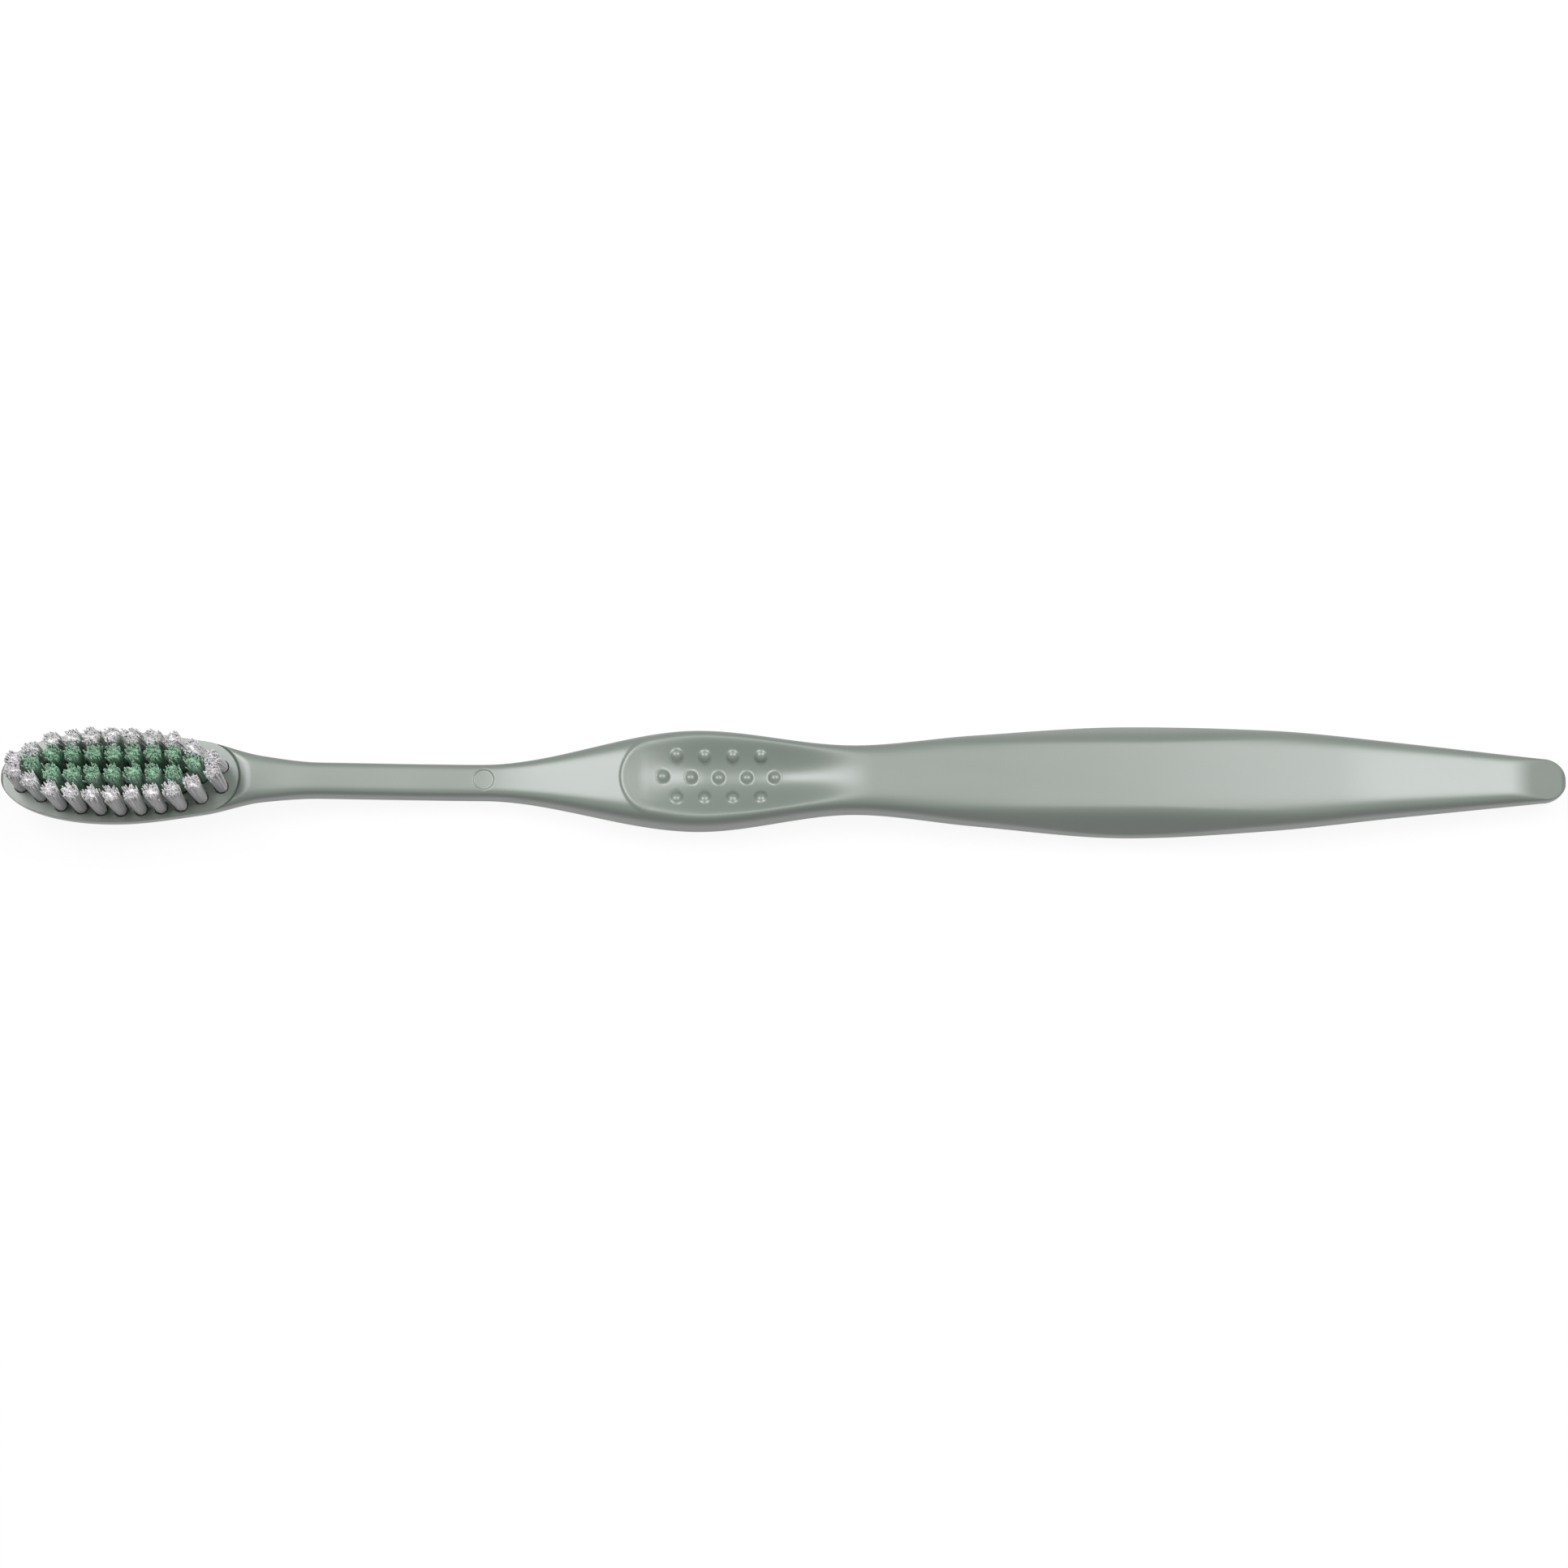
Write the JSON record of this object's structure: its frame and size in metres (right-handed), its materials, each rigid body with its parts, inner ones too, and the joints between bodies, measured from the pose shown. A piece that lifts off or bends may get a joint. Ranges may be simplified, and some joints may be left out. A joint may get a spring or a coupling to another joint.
{
  "type": "manual toothbrush",
  "caption": "Slim one-piece handle with a dished, nubbed thumb rest and an egg-shaped head carrying white edge tufts and green middle tufts.",
  "frame": {"origin": "on the table, under the middle of the brush as it lies on its back", "axes": "+X along the brush towards the tail, +Z out of the bristle face, along the bristles"},
  "size_m": [0.19, 0.0134, 0.018],
  "materials": {
    "sage_plastic": "satin pearl",
    "anchor_metal": "bright",
    "white_nylon": "matte",
    "green_nylon": "matte"
  },
  "bodies": {
    "root": {"handle": "sage_plastic", "tuft_anchors": "anchor_metal", "white_tuft_01": "white_nylon", "white_tuft_02": "white_nylon", "white_tuft_03": "white_nylon", "white_tuft_04": "white_nylon", "white_tuft_05": "white_nylon", "white_tuft_06": "white_nylon", "white_tuft_07": "white_nylon", "white_tuft_08": "white_nylon", "white_tuft_09": "white_nylon", "white_tuft_10": "white_nylon", "white_tuft_11": "white_nylon", "white_tuft_12": "white_nylon", "white_tuft_13": "white_nylon", "white_tuft_14": "white_nylon", "white_tuft_15": "white_nylon", "white_tuft_16": "white_nylon", "white_tuft_17": "white_nylon", "white_tuft_18": "white_nylon", "white_tuft_19": "white_nylon", "white_tuft_20": "white_nylon", "white_tuft_21": "white_nylon", "white_tuft_22": "white_nylon", "green_tuft_01": "green_nylon", "green_tuft_02": "green_nylon", "green_tuft_03": "green_nylon", "green_tuft_04": "green_nylon", "green_tuft_05": "green_nylon", "green_tuft_06": "green_nylon", "green_tuft_07": "green_nylon", "green_tuft_08": "green_nylon", "green_tuft_09": "green_nylon", "green_tuft_10": "green_nylon", "green_tuft_11": "green_nylon", "green_tuft_12": "green_nylon", "green_tuft_13": "green_nylon", "green_tuft_14": "green_nylon", "green_tuft_15": "green_nylon", "green_tuft_16": "green_nylon"}
  },
  "joints": []
}
